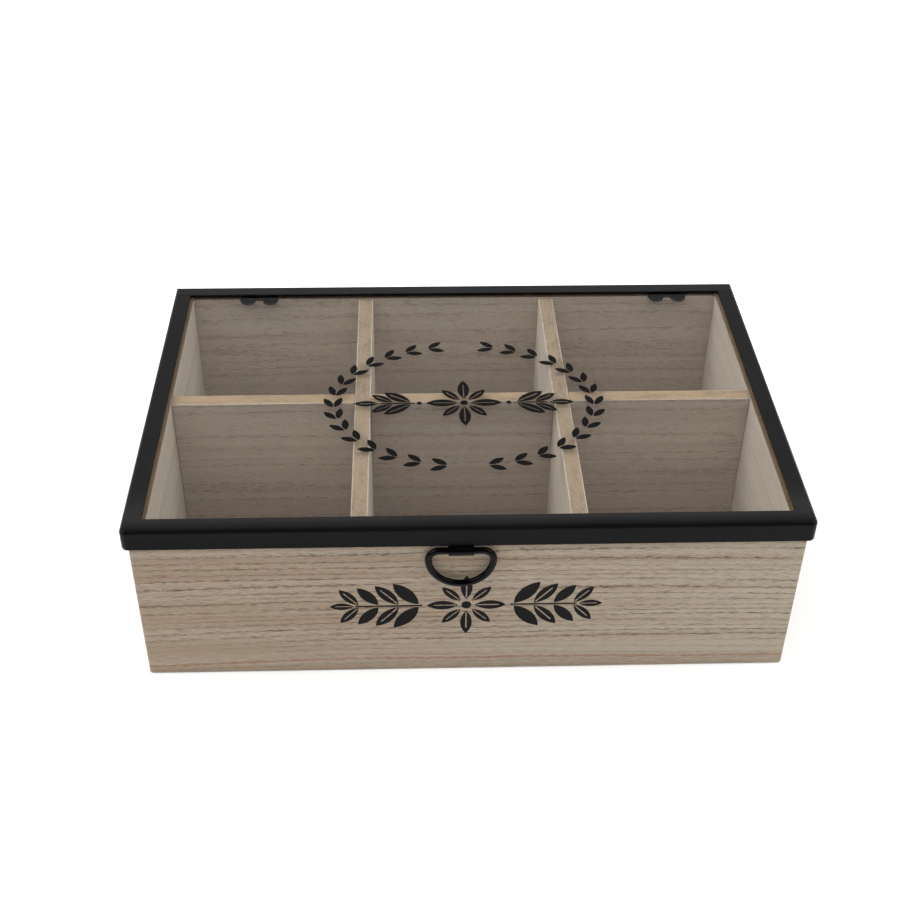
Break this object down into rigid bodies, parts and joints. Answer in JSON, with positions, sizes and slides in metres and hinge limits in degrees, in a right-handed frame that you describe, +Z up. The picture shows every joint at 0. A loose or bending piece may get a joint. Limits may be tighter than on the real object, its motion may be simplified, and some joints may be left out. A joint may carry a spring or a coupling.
{
  "type": "tea bag organizer box",
  "caption": "Low wooden box with a grid of compartments for tea bags, a hinged glass lid in a black steel frame and a pull ring at the front.",
  "frame": {"origin": "centre of the box's foot, on the surface that it stands on, under the middle of the lid frame", "axes": "+X along the front to the right, +Y from the front to the hinged back, +Z up through the lid"},
  "size_m": [0.24, 0.164, 0.071],
  "materials": {
    "oak_veneer": "greyed open-pored veneer on fibreboard, matt lacquer",
    "fibreboard": "bare medium-density fibreboard",
    "black_steel": "satin black powder coat",
    "gloss_black_steel": "gloss black lacquer",
    "zinc_steel": "dull zinc plating",
    "clear_glass": "clear float glass with a black screen print",
    "black_sealant": "black silicone sealant"
  },
  "bodies": {
    "box": {"front_panel": "oak_veneer", "back_panel": "oak_veneer", "left_panel": "oak_veneer", "right_panel": "oak_veneer", "bottom_panel": "fibreboard", "long_divider": "oak_veneer", "left_cross_divider": "oak_veneer", "right_cross_divider": "oak_veneer", "left_hinge_lower_leaf": "black_steel", "right_hinge_lower_leaf": "black_steel", "left_hinge_pin": "zinc_steel", "right_hinge_pin": "zinc_steel", "hinge_screws": "zinc_steel"},
    "lid": {"lid_front_rail": "black_steel", "lid_back_rail": "black_steel", "lid_left_rail": "black_steel", "lid_right_rail": "black_steel", "glass_pane": "clear_glass", "glass_seal": "black_sealant", "left_hinge_upper_leaf": "black_steel", "right_hinge_upper_leaf": "black_steel", "ring_clip": "gloss_black_steel"},
    "ring": {"pull_ring": "gloss_black_steel"}
  },
  "joints": [
    {"name": "lid_hinge", "type": "hinge", "parent": "box", "child": "lid", "pos_m": [0, 0.08025, 0.06635], "axis": [-1, 0, 0], "range_deg": [0, 180]},
    {"name": "ring_swing", "type": "hinge", "parent": "lid", "child": "ring", "pos_m": [-0.0033, -0.0805, 0.061], "axis": [-1, 0, 0], "range_deg": [0, 145]}
  ]
}
